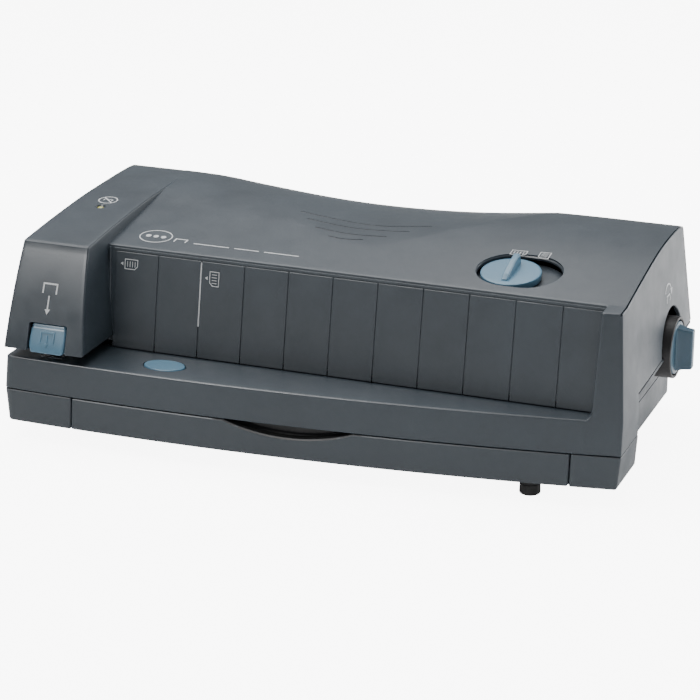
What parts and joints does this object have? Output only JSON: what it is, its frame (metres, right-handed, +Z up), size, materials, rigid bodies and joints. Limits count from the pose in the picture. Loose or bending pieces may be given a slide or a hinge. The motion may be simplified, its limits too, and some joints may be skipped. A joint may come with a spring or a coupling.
{
  "type": "electric punch stapler",
  "caption": "Desk machine that punches a row of filing holes and staples: throat with slot, chip tray, staple drawer, selector, side knob and electric drive.",
  "frame": {"origin": "middle of the bounding box, at the level of the desk under the feet", "axes": "+X to the right along the throat, +Y towards the rear, +Z up; the paper goes in from the front, along +Y"},
  "size_m": [0.4403, 0.2219, 0.1408],
  "materials": {
    "upper_cover": "fine grain moulded",
    "bed_deck": "fine grain moulded",
    "lower_body": "fine grain moulded",
    "ledge": "fine grain moulded",
    "chip_tray": "fine grain moulded",
    "foot_front_left": "matt",
    "foot_front_right": "matt",
    "foot_rear_left": "matt",
    "foot_rear_right": "matt",
    "bottom_screw_1": "zinc plated",
    "bottom_screw_2": "zinc plated",
    "bottom_screw_3": "zinc plated",
    "bottom_screw_4": "zinc plated",
    "bed_button": "satin moulded",
    "mode_selector": "satin moulded",
    "side_knob": "satin moulded",
    "staple_tab": "satin moulded",
    "selector_plate": "plain moulded",
    "knob_bezel": "plain moulded",
    "mains_inlet": "plain moulded",
    "staple_magazine": "plain moulded",
    "paper_switch": "plain moulded",
    "knob_shaft": "zinc plated",
    "status_lens": "clear",
    "clincher_plate": "zinc plated",
    "die_rail": "ground",
    "punch_frame": "zinc plated",
    "punch_bar": "ground",
    "punch_pin_1": "ground",
    "punch_pin_2": "ground",
    "punch_pin_3": "ground",
    "guide_rod_left": "ground",
    "guide_rod_right": "ground",
    "return_spring_left": "ground",
    "return_spring_right": "ground",
    "camshaft": "ground",
    "punch_cam_1": "ground",
    "punch_cam_2": "ground",
    "cam_gear": "natural moulded",
    "staple_cam": "ground",
    "idler_gear": "natural moulded",
    "idler_pin": "ground",
    "motor_bracket": "zinc plated",
    "motor": "black enamel",
    "motor_shaft": "ground",
    "motor_pinion": "machined",
    "staple_frame": "zinc plated",
    "staple_strip": "zinc plated",
    "staple_pusher": "natural moulded",
    "pusher_spring": "ground",
    "driver_blade": "ground",
    "staple_lever": "zinc plated",
    "lever_pin": "ground",
    "control_board": "laminate",
    "board_standoff_1": "natural moulded",
    "board_standoff_2": "natural moulded",
    "board_standoff_3": "natural moulded",
    "board_standoff_4": "natural moulded",
    "transformer": "black enamel"
  },
  "bodies": {
    "base": {"upper_cover": "upper_cover", "bed_deck": "bed_deck", "lower_body": "lower_body", "ledge": "ledge", "foot_front_left": "foot_front_left", "foot_front_right": "foot_front_right", "foot_rear_left": "foot_rear_left", "foot_rear_right": "foot_rear_right", "bottom_screw_1": "bottom_screw_1", "bottom_screw_2": "bottom_screw_2", "bottom_screw_3": "bottom_screw_3", "bottom_screw_4": "bottom_screw_4", "selector_plate": "selector_plate", "knob_bezel": "knob_bezel", "mains_inlet": "mains_inlet", "paper_switch": "paper_switch", "status_lens": "status_lens", "clincher_plate": "clincher_plate", "die_rail": "die_rail", "punch_frame": "punch_frame", "guide_rod_left": "guide_rod_left", "guide_rod_right": "guide_rod_right", "return_spring_left": "return_spring_left", "return_spring_right": "return_spring_right", "idler_pin": "idler_pin", "motor_bracket": "motor_bracket", "motor": "motor", "staple_frame": "staple_frame", "lever_pin": "lever_pin", "control_board": "control_board", "board_standoff_1": "board_standoff_1", "board_standoff_2": "board_standoff_2", "board_standoff_3": "board_standoff_3", "board_standoff_4": "board_standoff_4", "transformer": "transformer"},
    "chip_tray": {"chip_tray": "chip_tray"},
    "bed_button": {"bed_button": "bed_button"},
    "mode_selector": {"mode_selector": "mode_selector"},
    "side_knob": {"side_knob": "side_knob", "knob_shaft": "knob_shaft"},
    "staple_drawer": {"staple_tab": "staple_tab", "staple_magazine": "staple_magazine", "staple_strip": "staple_strip", "staple_pusher": "staple_pusher", "pusher_spring": "pusher_spring"},
    "camshaft": {"camshaft": "camshaft", "punch_cam_1": "punch_cam_1", "punch_cam_2": "punch_cam_2", "cam_gear": "cam_gear", "staple_cam": "staple_cam"},
    "idler": {"idler_gear": "idler_gear"},
    "motor_rotor": {"motor_shaft": "motor_shaft", "motor_pinion": "motor_pinion"},
    "punch_bar": {"punch_bar": "punch_bar", "punch_pin_1": "punch_pin_1", "punch_pin_2": "punch_pin_2", "punch_pin_3": "punch_pin_3"},
    "staple_lever": {"staple_lever": "staple_lever"},
    "driver_blade": {"driver_blade": "driver_blade"}
  },
  "joints": [
    {"name": "chip_tray_slide", "type": "slide", "parent": "base", "child": "chip_tray", "axis": [0, -1, 0], "range_m": [0, 0.08]},
    {"name": "bed_button_press", "type": "slide", "parent": "base", "child": "bed_button", "axis": [0, 0, -1], "range_m": [0, 0.002], "stiffness_N_per_m": 400},
    {"name": "mode_selector_slide", "type": "slide", "parent": "base", "child": "mode_selector", "axis": [1, 0, 0], "range_m": [0, 0.013]},
    {"name": "side_knob_turn", "type": "hinge", "parent": "base", "child": "side_knob", "pos_m": [0.207, 0.057, 0.065], "axis": [1, 0, 0], "range_deg": [0, 90]},
    {"name": "staple_drawer_slide", "type": "slide", "parent": "base", "child": "staple_drawer", "axis": [0, -1, 0], "range_m": [0, 0.06]},
    {"name": "camshaft_turn", "type": "hinge", "parent": "base", "child": "camshaft", "pos_m": [0.002, -0.033, 0.1], "axis": [1, 0, 0], "range_deg": [0, 180]},
    {"name": "idler_turn", "type": "hinge", "parent": "base", "child": "idler", "pos_m": [0.189, -0.003, 0.0834], "axis": [1, 0, 0], "range_deg": [-216, 0]},
    {"name": "motor_turn", "type": "hinge", "parent": "base", "child": "motor_rotor", "pos_m": [0.189, 0.015, 0.072], "axis": [1, 0, 0], "range_deg": [0, 600]},
    {"name": "punch_slide", "type": "slide", "parent": "base", "child": "punch_bar", "axis": [0, 0, -1], "range_m": [0, 0.011], "stiffness_N_per_m": 50, "springref_m": -0.25, "deforming": ["return_spring_left", "return_spring_right"]},
    {"name": "staple_lever_turn", "type": "hinge", "parent": "base", "child": "staple_lever", "pos_m": [-0.188, -0.055, 0.11], "axis": [1, 0, 0], "range_deg": [0, 18.9]},
    {"name": "driver_slide", "type": "slide", "parent": "base", "child": "driver_blade", "axis": [0, 0, -1], "range_m": [0, 0.01]}
  ],
  "couplings": [
    {"joint": "camshaft_turn", "follows": "punch_slide", "rad_per_m": 285.6},
    {"joint": "idler_turn", "follows": "punch_slide", "rad_per_m": -342.72},
    {"joint": "motor_turn", "follows": "punch_slide", "rad_per_m": 952},
    {"joint": "staple_lever_turn", "follows": "punch_slide", "rad_per_m": 29.7},
    {"joint": "driver_slide", "follows": "punch_slide", "ratio": 0.908}
  ]
}
